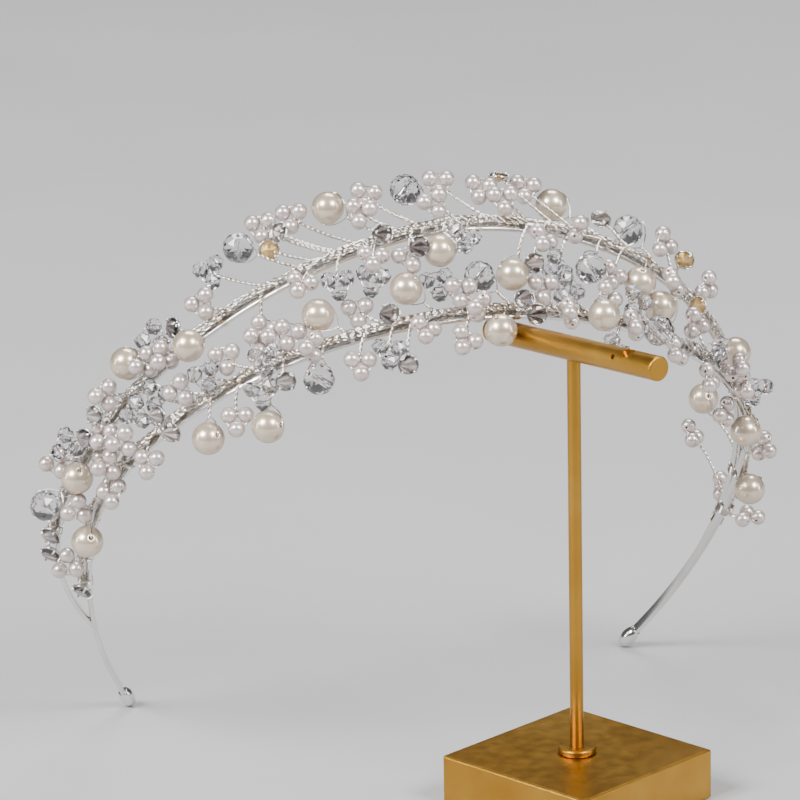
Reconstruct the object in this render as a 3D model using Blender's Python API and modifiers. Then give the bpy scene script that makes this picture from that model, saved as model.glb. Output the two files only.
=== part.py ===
"""Pearl headband resting on a small gold T-bar display stand.

Two thin silver arcs meet in one leg at each side. A wire bundle follows each arc and
carries twisted stems with pearls, faceted crystals, clusters of small beads and set stones.
Metres, +Z up. X runs ear to ear, the headband leans towards -Y, the origin is on the
table under the stand's post.
"""
import math
from collections import namedtuple

import bmesh
import bpy
from mathutils import Matrix, Vector

MM = 0.001
CLEARANCE = 0.3 * MM
MERGE = 0.00001
SHARP_ANGLE = math.radians(35.0)

# Display stand
BASE_SIDE = 46.7 * MM
BASE_HEIGHT = 12.7 * MM
BASE_EDGE = 0.5 * MM
BASE_TURN = math.radians(28.9)
FLANGE_RADIUS = 4.7 * MM
FLANGE_HEIGHT = 1.4 * MM
POST_RADIUS = 1.65 * MM
POST_SOCKET_DEPTH = 6.0 * MM
BAR_RADIUS = 3.0 * MM
BAR_LENGTH = 61.4 * MM
BAR_HEIGHT = 115.1 * MM
BAR_TURN = math.radians(-68.3)
BAR_TILT = math.radians(2.5)
BAR_CHAMFER = 0.35 * MM
BAR_SOCKET_DEPTH = 2.4 * MM
SET_SCREW_RADIUS = 0.6 * MM
SET_SCREW_DEPTH = 1.5 * MM
SET_SCREW_PLACE = 17.3 * MM
SET_SCREW_TURN = math.radians(155.0)
DIMPLE_RADIUS = 1.6 * MM
DIMPLE_PLACE = 21.3 * MM
DIMPLE_TURN = math.radians(114.0)
DIMPLE_DEPTH = 0.9 * MM
ROUND_SIDES = 16
HOLE_SIDES = 10

# Hoop: two flat strips soldered into one leg at each side
FEET_MIDDLE = Vector((-19.2, 103.6, 2.3)) * MM
STRIP_WIDTH = 2.6 * MM
STRIP_THICKNESS = 1.2 * MM
STRIP_POINTS = 48
JOINT_HEIGHT = 34.0 * MM
FRONT_LEAN = math.radians(35.0)
BACK_LEAN = math.radians(25.2)
CAP_LENGTH = 7.0 * MM
CAP_WIDTH = 4.8 * MM
CAP_THICKNESS = 4.2 * MM
CAP_CENTRE = 0.96 * MM
CAP_SIDES = 12
CAP_RINGS = 10

# Wire work
BUNDLE_RADIUS = 0.8 * MM
BUNDLE_RISE = STRIP_THICKNESS / 2 + CLEARANCE + BUNDLE_RADIUS
BUNDLE_ACROSS = -0.5 * MM
BUNDLE_ENDS = {"front": (-144.0 * MM, 143.5 * MM), "back": (-138.0 * MM, 141.0 * MM)}
BUNDLE_STEP = 5.6 * MM
STEM_RADIUS = 0.38 * MM
KNOT_RADIUS = 0.6 * MM
FACE_SWEEP = 0.45
BACK_SWEEP = 0.8
ROOT_SHIFT = 0.4 * MM
ROOT_LIFT = 0.3 * MM

# Beads and stones
PEARL_RADIUS = 4.0 * MM
CRYSTAL_RADIUS = 4.0 * MM
SMALL_PEARL_RADIUS = 2.05 * MM
SMALL_CRYSTAL_RADIUS = 2.2 * MM
BEAD_SPREAD = 1.17
FACING_ACROSS = 0.65 * MM
FACING_RISE = 0.76 * MM
KNOT_LENGTH = 0.9 * MM
GEM_RADIUS = 2.5 * MM
PEARL_SIDES = 12
PEARL_RINGS = 6
SMALL_SIDES = 10
SMALL_RINGS = 4
CUT_SIDES = 8

# Half an arc: half width, shoulder exponent (2 is round, less is pointed)
Half = namedtuple("Half", "width shoulder")
Sprig = namedtuple("Sprig", "band station across rise kind")

# One row a sprig, in mm. Station runs along the band from its top, towards +X.
# Across is towards the wearer's face, rise is away from the head.
SPRIGS = [Sprig(*row) for row in (
    ("front", -118.0, 5.6, 3.0, "pearl"),
    ("front", -70.0, 10.0, 0.5, "pearl"),
    ("front", -55.0, 14.5, -1.0, "pearl"),
    ("front", -39.5, 8.5, 0.5, "crystal"),
    ("front", -35.0, -6.0, 5.5, "pearl"),
    ("front", -14.0, -6.5, 6.0, "pearl"),
    ("front", 4.0, -8.5, 4.5, "crystal"),
    ("front", 5.6, 7.2, 2.6, "pearl"),
    ("front", 32.3, 3.6, 5.7, "pearl"),
    ("front", 49.0, 3.8, 5.0, "crystal"),
    ("front", 53.5, -6.0, 4.5, "pearl"),
    ("front", 100.0, 6.0, -1.0, "pearl"),
    ("front", 126.0, 5.8, 1.2, "pearl"),
    ("back", -126.0, 3.0, 6.4, "crystal"),
    ("back", -114.8, 5.3, 3.0, "pearl"),
    ("back", -86.0, -4.0, 6.2, "pearl"),
    ("back", -70.0, 4.7, 4.5, "pearl"),
    ("back", -49.6, -13.0, 6.2, "crystal"),
    ("back", -27.0, -12.0, 6.0, "pearl"),
    ("back", -9.0, -10.0, 6.0, "crystal"),
    ("back", -5.5, 7.0, -0.5, "pearl"),
    ("back", 12.7, 13.0, -4.5, "pearl"),
    ("back", 30.0, -11.8, 0.3, "pearl"),
    ("back", 35.5, 9.0, -1.7, "crystal"),
    ("back", 51.0, -8.5, 3.0, "crystal"),
    ("back", 51.5, 8.0, -0.7, "pearl"),
    ("back", 93.0, 5.4, 3.0, "pearl"),
    ("back", 125.0, -14.0, -4.5, "pearl"),
    ("front", -131.0, 2.0, 6.0, "pearls"),
    ("front", -112.6, 0.2, 6.0, "pearls"),
    ("front", -87.5, 5.5, 1.5, "pearls"),
    ("front", -61.5, 9.5, 0.5, "pearls"),
    ("front", -58.6, -5.5, 5.0, "pearls"),
    ("front", -29.0, 8.5, 1.0, "pearls"),
    ("front", -26.0, -5.5, 3.0, "pearls"),
    ("front", -3.0, 8.0, 1.0, "pearls"),
    ("front", 23.0, 4.0, 5.5, "pearls"),
    ("front", 41.5, 4.0, 4.5, "pearls"),
    ("front", 70.0, 8.0, 1.0, "pearls"),
    ("front", 78.5, 3.0, 6.0, "pearls"),
    ("front", 112.0, 4.0, 3.5, "pearls"),
    ("front", 141.0, 3.0, 6.5, "pearls"),
    ("back", -117.0, -2.0, 6.0, "pearls"),
    ("back", -93.5, 1.0, 8.0, "pearls"),
    ("back", -63.3, -5.0, 4.5, "pearls"),
    ("back", -42.8, -14.8, 7.0, "pearls"),
    ("back", -35.6, -14.0, 6.2, "pearls"),
    ("back", -18.0, -11.5, 6.0, "pearls"),
    ("back", -21.6, 6.5, 2.5, "pearls"),
    ("back", -1.0, -11.5, 5.0, "pearls"),
    ("back", 9.0, -10.0, 4.0, "pearls"),
    ("back", 21.5, -12.5, 3.3, "pearls"),
    ("back", 20.5, 7.0, 2.5, "pearls"),
    ("back", 60.0, -6.0, 6.0, "pearls"),
    ("front", -53.5, 6.0, 1.0, "crystals"),
    ("front", 36.8, 9.8, 0.8, "crystals"),
    ("back", -58.4, -12.8, 4.8, "crystals"),
    ("back", -31.6, 8.0, 0.0, "crystals"),
    ("front", -78.0, 4.0, 3.0, "gem"),
    ("front", 14.6, 4.6, 5.2, "gem"),
    ("front", -141.0, 3.5, 2.5, "gem"),
    ("back", -72.5, -5.0, 4.0, "gem"),
    ("back", 14.5, -14.0, 5.0, "gem"),
    ("back", -135.0, 3.5, 3.0, "gem"),
)]

# Turned crystal and set stone: distance along the axis and radius, in parts of the radius
CRYSTAL_PROFILE = ((0.90, 0.42), (0.52, 0.86), (0.0, 1.0), (-0.52, 0.86), (-0.90, 0.42))
SMALL_CRYSTAL_PROFILE = ((0.80, 0.5), (0.0, 1.0), (-0.80, 0.5))
GEM_PROFILE = ((0.42, 0.55), (0.12, 1.0), (-0.12, 1.0), (-0.68, 0.55))


def clear_scene():
    for old in list(bpy.data.objects):
        bpy.data.objects.remove(old, do_unlink=True)


def collection(name):
    made = bpy.data.collections.new(name)
    bpy.context.scene.collection.children.link(made)
    return made


def material(name, color, roughness, metallic=0.0, transmission=0.0):
    made = bpy.data.materials.new(name)
    made.use_nodes = True
    shader = made.node_tree.nodes["Principled BSDF"]
    shader.inputs["Base Color"].default_value = (*color, 1.0)
    shader.inputs["Roughness"].default_value = roughness
    shader.inputs["Metallic"].default_value = metallic
    shader.inputs["Transmission Weight"].default_value = transmission
    return made


def mesh_object(name, bm, home, finish=None):
    """Turn a bmesh into an object of the given collection."""
    mesh = bpy.data.meshes.new(name)
    bm.to_mesh(mesh)
    bm.free()
    made = bpy.data.objects.new(name, mesh)
    home.objects.link(made)
    if finish:
        mesh.materials.append(finish)
    return made


def as_guide(made):
    made.hide_render = True
    made.display_type = "WIRE"
    return made


def cylinder(name, radius, length, matrix, home, sides=ROUND_SIDES, finish=None):
    """A closed cylinder centred on the matrix and running along its Z."""
    bm = bmesh.new()
    bmesh.ops.create_cone(bm, cap_ends=True, segments=sides, radius1=radius, radius2=radius,
                          depth=length, matrix=matrix)
    return mesh_object(name, bm, home, finish)


def boolean(target, cutter, operation="DIFFERENCE"):
    change = target.modifiers.new(operation.title(), "BOOLEAN")
    change.operation = operation
    change.solver = "EXACT"
    change.object = cutter


def bevel(target, width, segments=1):
    change = target.modifiers.new("Edge", "BEVEL")
    change.width = width
    change.segments = segments
    change.limit_method = "ANGLE"


def curve_mesh(name, points, home, radius, sides_step=1):
    """A closed round wire through the points, as a mesh."""
    curve = bpy.data.curves.new(name, "CURVE")
    curve.dimensions = "3D"
    curve.bevel_depth = radius
    curve.bevel_resolution = sides_step
    curve.use_fill_caps = True
    spline = curve.splines.new("POLY")
    spline.points.add(len(points) - 1)
    for spot, point in zip(spline.points, points):
        spot.co = (*point, 1.0)
    return baked(name, curve, home)


def baked(name, curve, home, matrix=None):
    """Replace a curve by its evaluated mesh, with the loose caps welded."""
    guide = bpy.data.objects.new(name, curve)
    home.objects.link(guide)
    if matrix is not None:
        guide.matrix_world = matrix
    bpy.context.view_layer.update()
    mesh = bpy.data.meshes.new_from_object(guide.evaluated_get(bpy.context.evaluated_depsgraph_get()))
    made = bpy.data.objects.new(name, mesh)
    made.matrix_world = guide.matrix_world
    bpy.data.objects.remove(guide, do_unlink=True)
    home.objects.link(made)
    bm = bmesh.new()
    bm.from_mesh(mesh)
    bmesh.ops.remove_doubles(bm, verts=bm.verts, dist=MERGE)
    bmesh.ops.recalc_face_normals(bm, faces=bm.faces)
    bm.to_mesh(mesh)
    bm.free()
    made.name = name
    return made


class Arc:
    """One band of the hoop: a plane curve that leans towards the wearer's face."""

    SAMPLES = 900

    def __init__(self, widest, crown, lean, foot, left, right, foot_half):
        self.widest = widest
        self.crown = crown
        self.foot_half = foot_half
        self.matrix = Matrix.Translation(foot) @ Matrix.Rotation(math.pi / 2 + lean, 4, "X")
        one_side = self.half_curve(left, -1.0)
        other_side = self.half_curve(right, 1.0)
        self.curve = one_side[::-1] + other_side[1:]
        self.stations = self.measure()

    def half_curve(self, half, side):
        """Points from the top down to the foot on one side."""
        lower = self.widest / math.sqrt(1.0 - (self.foot_half / half.width) ** 2)
        last = math.pi / 2 + math.asin(self.widest / lower)
        points = []
        for i in range(self.SAMPLES + 1):
            turn = last * i / self.SAMPLES
            if turn <= math.pi / 2:
                x = half.width * math.sin(turn) ** (2.0 / half.shoulder)
                y = self.widest + self.crown * max(math.cos(turn), 0.0) ** (2.0 / half.shoulder)
            else:
                x = half.width * math.sin(turn)
                y = self.widest + lower * math.cos(turn)
            points.append(Vector((side * x, y)))
        return points

    def measure(self):
        """Length along the curve of each point, zero at the top."""
        lengths = [0.0]
        for a, b in zip(self.curve, self.curve[1:]):
            lengths.append(lengths[-1] + (b - a).length)
        top = lengths[self.SAMPLES]
        return [length - top for length in lengths]

    def at(self, station):
        """Point and outward normal in the arc's plane."""
        low, high = 0, len(self.stations) - 1
        while high - low > 1:
            middle = (low + high) // 2
            if self.stations[middle] <= station:
                low = middle
            else:
                high = middle
        span = self.stations[high] - self.stations[low]
        part = (station - self.stations[low]) / span
        point = self.curve[low].lerp(self.curve[high], part)
        along = (self.curve[high] - self.curve[low]).normalized()
        return point, Vector((-along.y, along.x))

    def place(self, station, across=0.0, rise=0.0):
        """Row-frame position beside the band."""
        point, outward = self.at(station)
        flat = point + outward * rise
        return self.matrix @ Vector((flat.x, flat.y, across))

    def ends(self):
        return self.stations[0], self.stations[-1]


def make_arcs():
    """Front arc on its feet, and back arc on the joint of the legs."""
    front = Arc(73.0 * MM, 70.0 * MM, FRONT_LEAN, FEET_MIDDLE, Half(86.0 * MM, 1.92),
                Half(86.0 * MM, 1.92), 68.9 * MM)
    joint = FEET_MIDDLE + Matrix.Rotation(math.pi / 2 + FRONT_LEAN, 3, "X") @ Vector((0, JOINT_HEIGHT, 0))
    joint_half = min((abs(p.y - JOINT_HEIGHT), p.x) for p in front.curve if p.x > 0)[1]
    back = Arc(32.0 * MM, 88.0 * MM, BACK_LEAN, joint, Half(93.0 * MM, 1.75),
               Half(87.0 * MM, 1.95), joint_half)
    return {"front": front, "back": back}


def strip(name, arc, first, last, count, home, finish=None):
    """Flat strip along an arc between two stations."""
    curve = bpy.data.curves.new(name, "CURVE")
    curve.dimensions = "2D"
    curve.fill_mode = "NONE"
    curve.extrude = STRIP_WIDTH / 2
    spline = curve.splines.new("POLY")
    spline.points.add(count - 1)
    for i, spot in enumerate(spline.points):
        point = arc.at(first + (last - first) * i / (count - 1))[0]
        spot.co = (point.x, point.y, 0.0, 1.0)
    made = baked(name, curve, home, arc.matrix)
    thick = made.modifiers.new("Thickness", "SOLIDIFY")
    thick.thickness = STRIP_THICKNESS
    thick.offset = 0.0
    if finish:
        made.data.materials.append(finish)
    return made


def make_hoop(arcs, home, guides, finish):
    """Front and back strips, soldered where the back strip runs out on the legs."""
    low, high = arcs["front"].ends()
    hoop = strip("silver_hoop", arcs["front"], low, high, STRIP_POINTS, home, finish)
    low, high = arcs["back"].ends()
    back = as_guide(strip("back_strip", arcs["back"], low, high, STRIP_POINTS, guides))
    boolean(hoop, back, "UNION")
    return hoop


def make_end_cap(name, arc, side, home, guides, finish):
    """Rounded cap on a leg, with a pocket for the strip's end."""
    station = arc.ends()[0 if side < 0 else 1]
    inward = -side
    centre = arc.place(station + inward * CAP_CENTRE)
    along = (arc.place(station + inward * 2 * CAP_CENTRE) - arc.place(station)).normalized()
    across = (arc.place(station, across=MM) - arc.place(station)).normalized()
    frame = Matrix((across.cross(along), across, along)).transposed().to_4x4()
    frame = Matrix.Translation(centre) @ frame
    bm = bmesh.new()
    bmesh.ops.create_uvsphere(bm, u_segments=CAP_SIDES, v_segments=CAP_RINGS, radius=0.5)
    bmesh.ops.scale(bm, vec=(CAP_THICKNESS, CAP_WIDTH, CAP_LENGTH), verts=bm.verts)
    bmesh.ops.transform(bm, matrix=frame, verts=bm.verts)
    cap = mesh_object(name, bm, home, finish)
    pocket_depth = CAP_LENGTH
    pocket_floor = -CAP_CENTRE - CLEARANCE
    bm = bmesh.new()
    bmesh.ops.create_cube(bm, size=1.0)
    bmesh.ops.scale(bm, vec=(STRIP_THICKNESS + 2 * CLEARANCE, STRIP_WIDTH + 2 * CLEARANCE, pocket_depth),
                    verts=bm.verts)
    bmesh.ops.translate(bm, vec=(0, 0, pocket_floor + pocket_depth / 2), verts=bm.verts)
    bmesh.ops.transform(bm, matrix=frame, verts=bm.verts)
    boolean(cap, as_guide(mesh_object(name + "_pocket", bm, guides)))
    return cap


def stem_route(arc, sprig, short):
    """Stem from the wire bundle to just short of the sprig's head, and its direction."""
    station, across, rise = sprig.station * MM, sprig.across * MM, sprig.rise * MM
    sweep = FACE_SWEEP if across > 0 else BACK_SWEEP
    slide = sweep * math.hypot(across, rise - BUNDLE_RISE)
    shift = math.copysign(ROOT_SHIFT, across)
    root = arc.place(station + slide, BUNDLE_ACROSS + shift, BUNDLE_RISE + ROOT_LIFT)
    head = arc.place(station, across, rise)
    way = (head - root).normalized()
    return [root, head - way * short], head, way


def frame_on(centre, axis):
    """Matrix with its origin at the centre and its Z along the axis."""
    turn = Vector((0, 0, 1)).rotation_difference(axis).to_matrix().to_4x4()
    return Matrix.Translation(centre) @ turn


def ball(name, radius, sides, rings, matrix, home, finish=None):
    bm = bmesh.new()
    bmesh.ops.create_uvsphere(bm, u_segments=sides, v_segments=rings, radius=radius, matrix=matrix)
    return mesh_object(name, bm, home, finish)


def turned(name, profile, radius, sides, matrix, home, finish=None):
    """Cut stone: rings of a profile with a flat table at each end, alternate rings turned."""
    bm = bmesh.new()
    rings = []
    for level, (height, size) in enumerate(profile):
        shift = 0.5 * (level % 2)
        ring = []
        for i in range(sides):
            turn = 2 * math.pi * (i + shift) / sides
            spot = Vector((math.cos(turn) * size, math.sin(turn) * size, height)) * radius
            ring.append(bm.verts.new(matrix @ spot))
        rings.append(ring)
    bm.faces.new(rings[0])
    bm.faces.new(rings[-1][::-1])
    for level, (upper, lower) in enumerate(zip(rings, rings[1:])):
        ahead = level % 2
        for i in range(sides):
            j = (i + 1) % sides
            if ahead:
                bm.faces.new((upper[i], lower[i], lower[j]))
                bm.faces.new((upper[i], lower[j], upper[j]))
            else:
                bm.faces.new((upper[i], lower[i], upper[j]))
                bm.faces.new((upper[j], lower[i], lower[j]))
    bmesh.ops.recalc_face_normals(bm, faces=bm.faces)
    return mesh_object(name, bm, home, finish)


def facing(arc, station):
    """Direction that the sprigs show: away from the head and a little to the face."""
    spot = arc.place(station)
    return (arc.place(station, FACING_ACROSS, FACING_RISE) - spot).normalized()


def cluster_spots(head, way, shown, radius):
    """Centres of the three beads of a clover leaf at the stem's end."""
    side = shown.cross(way).normalized()
    reach = radius * BEAD_SPREAD
    return [head + (way * math.cos(a) + side * math.sin(a)) * reach
            for a in (0.0, 2 * math.pi / 3, 4 * math.pi / 3)]


def make_sprig(label, arc, sprig, home, finishes, guides):
    """Large beads become nodes, and the rest goes to the band's vine."""
    large = {"pearl": PEARL_RADIUS, "crystal": CRYSTAL_RADIUS}
    if sprig.kind in large:
        radius = large[sprig.kind]
        points, head, way = stem_route(arc, sprig, radius + CLEARANCE)
        curve_mesh("stem_" + label, points, guides, STEM_RADIUS)
        if sprig.kind == "pearl":
            ball(label, radius, PEARL_SIDES, PEARL_RINGS, frame_on(head, way), home, finishes["pearl"])
        else:
            turned(label, CRYSTAL_PROFILE, radius, CUT_SIDES, frame_on(head, way), home,
                   finishes["crystal"])
    elif sprig.kind == "gem":
        points, head, way = stem_route(arc, sprig, 0.0)
        curve_mesh("stem_" + label, points, guides, STEM_RADIUS)
        turned(label, GEM_PROFILE, GEM_RADIUS, CUT_SIDES, frame_on(head, way), guides)
    else:
        cut = sprig.kind == "crystals"
        radius = SMALL_CRYSTAL_RADIUS if cut else SMALL_PEARL_RADIUS
        points, head, way = stem_route(arc, sprig, -KNOT_LENGTH)
        curve_mesh("stem_" + label, points, guides, KNOT_RADIUS)
        shown = facing(arc, sprig.station * MM)
        for number, spot in enumerate(cluster_spots(head, way, shown, radius)):
            bead = f"{label}_{number}"
            if cut:
                turned(bead, SMALL_CRYSTAL_PROFILE, radius, CUT_SIDES, frame_on(spot, way), guides)
            else:
                ball(bead, radius, SMALL_SIDES, SMALL_RINGS, frame_on(spot, way), guides)


def make_vine(band, arc, home, guides, finish):
    """The wire bundle of a band, joined to all its stems, clusters and set stones."""
    first, last = BUNDLE_ENDS[band]
    count = int((last - first) / BUNDLE_STEP) + 1
    points = [arc.place(first + (last - first) * i / (count - 1), BUNDLE_ACROSS, BUNDLE_RISE)
              for i in range(count)]
    vine = curve_mesh(band + "_vine", points, home, BUNDLE_RADIUS)
    vine.data.materials.append(finish)
    join = vine.modifiers.new("Sprigs", "BOOLEAN")
    join.operation = "UNION"
    join.solver = "EXACT"
    join.operand_type = "COLLECTION"
    join.collection = guides
    return vine


def make_stand(home, guides, gold):
    """Square base, foot flange, post and cross bar, each fitted over the post."""
    bm = bmesh.new()
    bmesh.ops.create_cube(bm, size=1.0)
    bmesh.ops.scale(bm, vec=(BASE_SIDE, BASE_SIDE, BASE_HEIGHT), verts=bm.verts)
    bmesh.ops.translate(bm, vec=(0, 0, BASE_HEIGHT / 2), verts=bm.verts)
    bmesh.ops.rotate(bm, cent=(0, 0, 0), matrix=Matrix.Rotation(BASE_TURN, 3, "Z"), verts=bm.verts)
    base = mesh_object("stand_base", bm, home, gold)
    bevel(base, BASE_EDGE)

    flange_foot = BASE_HEIGHT + CLEARANCE
    flange = cylinder("foot_flange", FLANGE_RADIUS, FLANGE_HEIGHT,
                      Matrix.Translation((0, 0, flange_foot + FLANGE_HEIGHT / 2)), home, finish=gold)

    post_foot = BASE_HEIGHT - POST_SOCKET_DEPTH
    post_top = BAR_HEIGHT - BAR_RADIUS + BAR_SOCKET_DEPTH
    cylinder("stand_post", POST_RADIUS, post_top - post_foot,
             Matrix.Translation((0, 0, (post_top + post_foot) / 2)), home, finish=gold)

    lie = Matrix.Rotation(BAR_TURN, 4, "Z") @ Matrix.Rotation(-BAR_TILT, 4, "Y")
    bar_frame = Matrix.Translation((0, 0, BAR_HEIGHT)) @ lie
    bar = cylinder("rest_bar", BAR_RADIUS, BAR_LENGTH, bar_frame @ Matrix.Rotation(math.pi / 2, 4, "Y"),
                   home, finish=gold)
    bevel(bar, BAR_CHAMFER)

    socket_foot = post_foot - CLEARANCE
    socket_top = post_top + CLEARANCE
    socket = as_guide(cylinder("post_socket", POST_RADIUS + CLEARANCE, socket_top - socket_foot,
                               Matrix.Translation((0, 0, (socket_top + socket_foot) / 2)), guides))
    for piece in (base, flange, bar):
        boolean(piece, socket)

    for name, place, turn, radius, depth in (
            ("set_screw", SET_SCREW_PLACE, SET_SCREW_TURN, SET_SCREW_RADIUS, SET_SCREW_DEPTH),
            ("dimple", DIMPLE_PLACE, DIMPLE_TURN, DIMPLE_RADIUS, DIMPLE_DEPTH)):
        along = bar_frame @ Matrix.Translation((place, 0, 0))
        around = Matrix.Rotation(turn - math.pi / 2, 4, "X") @ Matrix.Translation((0, 0, BAR_RADIUS))
        hole = cylinder(name, radius, 2 * depth, along @ around, guides, sides=HOLE_SIDES)
        boolean(bar, as_guide(hole))


def main():
    clear_scene()
    home = collection("pearl_headband_on_stand")
    guides = collection("guides")
    gold = material("satin_gold", (0.62, 0.42, 0.13), 0.32, metallic=1.0)
    silver = material("silver", (0.82, 0.82, 0.80), 0.22, metallic=1.0)
    finishes = {
        "pearl": material("cream_pearl", (0.86, 0.80, 0.70), 0.18),
        "crystal": material("clear_crystal", (0.92, 0.91, 0.95), 0.03, transmission=0.9),
        "vine": material("silver_wire", (0.80, 0.76, 0.72), 0.3, metallic=0.9),
    }
    arcs = make_arcs()
    make_stand(home, guides, gold)
    make_hoop(arcs, home, guides, silver)
    make_end_cap("end_cap_left", arcs["front"], -1.0, home, guides, silver)
    make_end_cap("end_cap_right", arcs["front"], 1.0, home, guides, silver)

    pieces = {band: collection(band + "_pieces") for band in arcs}
    counts = {}
    for sprig in SPRIGS:
        counts[sprig.kind] = counts.get(sprig.kind, 0) + 1
        label = f"{sprig.kind}_{counts[sprig.kind]:02d}"
        make_sprig(label, arcs[sprig.band], sprig, home, finishes, pieces[sprig.band])
    for band, arc in arcs.items():
        for piece in pieces[band].objects:
            as_guide(piece)
        make_vine(band, arc, home, pieces[band], finishes["vine"])
    for piece in home.objects:
        piece.data.set_sharp_from_angle(angle=SHARP_ANGLE)


main()
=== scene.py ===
"""Looks of the pearl headband on its small gold T-bar stand.

Metres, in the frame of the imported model: X from ear to ear, the headband leans towards -Y,
the origin is under the stand's post. The sprig chart and the arcs repeat the part's source.
"""
import random
from collections import namedtuple
from math import asin, ceil, copysign, cos, hypot, pi, radians, sin, sqrt

import bmesh
import bpy
import numpy as np
from mathutils import Matrix, Vector


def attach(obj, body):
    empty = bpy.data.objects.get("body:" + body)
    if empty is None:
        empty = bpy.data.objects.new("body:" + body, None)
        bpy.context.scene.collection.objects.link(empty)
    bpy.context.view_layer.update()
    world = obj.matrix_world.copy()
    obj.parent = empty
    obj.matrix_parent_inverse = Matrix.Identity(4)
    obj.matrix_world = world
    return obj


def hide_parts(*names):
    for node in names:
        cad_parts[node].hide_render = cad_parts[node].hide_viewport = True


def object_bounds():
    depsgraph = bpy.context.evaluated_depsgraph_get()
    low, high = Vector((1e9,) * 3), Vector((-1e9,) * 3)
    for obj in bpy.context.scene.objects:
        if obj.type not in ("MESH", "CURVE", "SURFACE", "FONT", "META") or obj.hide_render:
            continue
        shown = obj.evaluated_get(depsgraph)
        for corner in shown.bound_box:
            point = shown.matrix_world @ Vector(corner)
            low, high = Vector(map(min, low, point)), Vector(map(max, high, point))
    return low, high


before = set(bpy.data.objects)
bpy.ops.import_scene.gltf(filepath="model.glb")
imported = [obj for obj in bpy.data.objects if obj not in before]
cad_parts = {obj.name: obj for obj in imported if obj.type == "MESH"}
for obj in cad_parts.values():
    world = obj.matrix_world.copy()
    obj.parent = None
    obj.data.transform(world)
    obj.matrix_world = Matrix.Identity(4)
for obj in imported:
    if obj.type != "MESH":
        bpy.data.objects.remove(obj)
cad_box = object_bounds()

MM = 0.001
TAU = 2 * pi
TINY = 1e-9
NEARLY_UPRIGHT = 0.9
WELD_REACH = 0.001 * MM
draw = random.Random(7)

ArcShape = namedtuple("ArcShape", "widest crown lean left right")
Cut = namedtuple("Cut", "levels sides hole")
Half = namedtuple("Half", "width shoulder")
Lamp = namedtuple("Lamp", "name azimuth elevation width height power")
Mark = namedtuple("Mark", "name place turn radius depth")
Rod = namedtuple("Rod", "part radius low high edge bands sides")
Sprig = namedtuple("Sprig", "band station across rise kind")
Turning = namedtuple("Turning", "hole sides rings")
Wave = namedtuple("Wave", "share length shift")

# Camera
CAMERA_PLACE = Vector((-0.3343, -0.9784, 0.4014))
CAMERA_HEADING = radians(16.56)
CAMERA_PITCH = radians(16.1)
CAMERA_ROLL = 0.020
FOCAL_PIXELS = 4501.0
FRAME_PIXELS = 800.0
SENSOR = 36.0
CLIP_NEAR = 0.05
CLIP_FAR = 20.0

# Studio. A lamp's angles are degrees from the camera's line of sight, its power is in watts.
LAMP_TARGET = Vector((-0.02, 0.04, 0.08))
LAMP_DISTANCE = 2.5
LAMPS = (
    Lamp("left_box", -44, 30, 1.0, 0.95, 131.0),
    Lamp("right_box", 38, 32, 0.85, 0.85, 87.0),
    Lamp("rim_box", 165, 74, 1.25, 0.75, 44.0),
    Lamp("left_strip", -78, 12, 0.15, 1.25, 15.6),
    Lamp("right_strip", 72, 14, 0.15, 1.25, 15.6),
)
SKY_COLOR = (0.42, 0.43, 0.45, 1.0)
SKY_STRENGTH = 0.22
FLOOR_REACH = 6.0
FLOOR_DROP = 0.02 * MM

# Colours. Nacre has a deep tone, a pale tone and the tone of its rim. The others are stops
# of a ramp, each with its place and its colour.
CREAM_NACRE = ((0.57, 0.465, 0.345), (0.66, 0.56, 0.43), (0.40, 0.28, 0.17))
BLUSH_NACRE = ((0.57, 0.49, 0.465), (0.66, 0.58, 0.55), (0.38, 0.28, 0.26))
GLASS_TONES = ((0.3, (0.93, 0.92, 0.97)), (0.7, (1.0, 1.0, 1.0)))
WIRE_TONES = ((0.3, (0.64, 0.55, 0.46)), (0.5, (0.78, 0.73, 0.67)), (0.7, (0.90, 0.88, 0.86)))
STRIP_TONES = ((0.3, (0.68, 0.67, 0.65)), (0.7, (0.82, 0.81, 0.80)))
GOLD_TONES = ((0.25, (0.34, 0.165, 0.02)), (0.55, (0.44, 0.23, 0.036)), (0.8, (0.53, 0.30, 0.062)))
FOIL_TONES = ((0.3, (0.42, 0.27, 0.09)), (0.7, (0.66, 0.47, 0.22)))
# Mirror tones of a stone's back: the dark stops are painted dark reflections, the light stops painted
# glints.
PAINTED_GLINT_TONES = ((0.0, (0.20, 0.13, 0.10)), (0.2, (0.58, 0.46, 0.38)),
                (0.75, (0.94, 0.87, 0.82)), (1.0, (1.0, 0.98, 0.96)))
FLOOR_TONES = ((0.3, (0.345, 0.34, 0.34)), (0.7, (0.375, 0.37, 0.37)))
FINE_GRAIN = 0.01 * MM
BRUSHED_GRAIN = 0.02 * MM
BASE_BRUSHING = (700.0, 700.0, 60.0)
ROD_BRUSHING = (300.0, 300.0, 1500.0)
WIRE_DRAWING = (9000.0, 6.0, 1.0)
STRIP_DRAWING = (120.0, 9000.0, 1.0)

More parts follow.
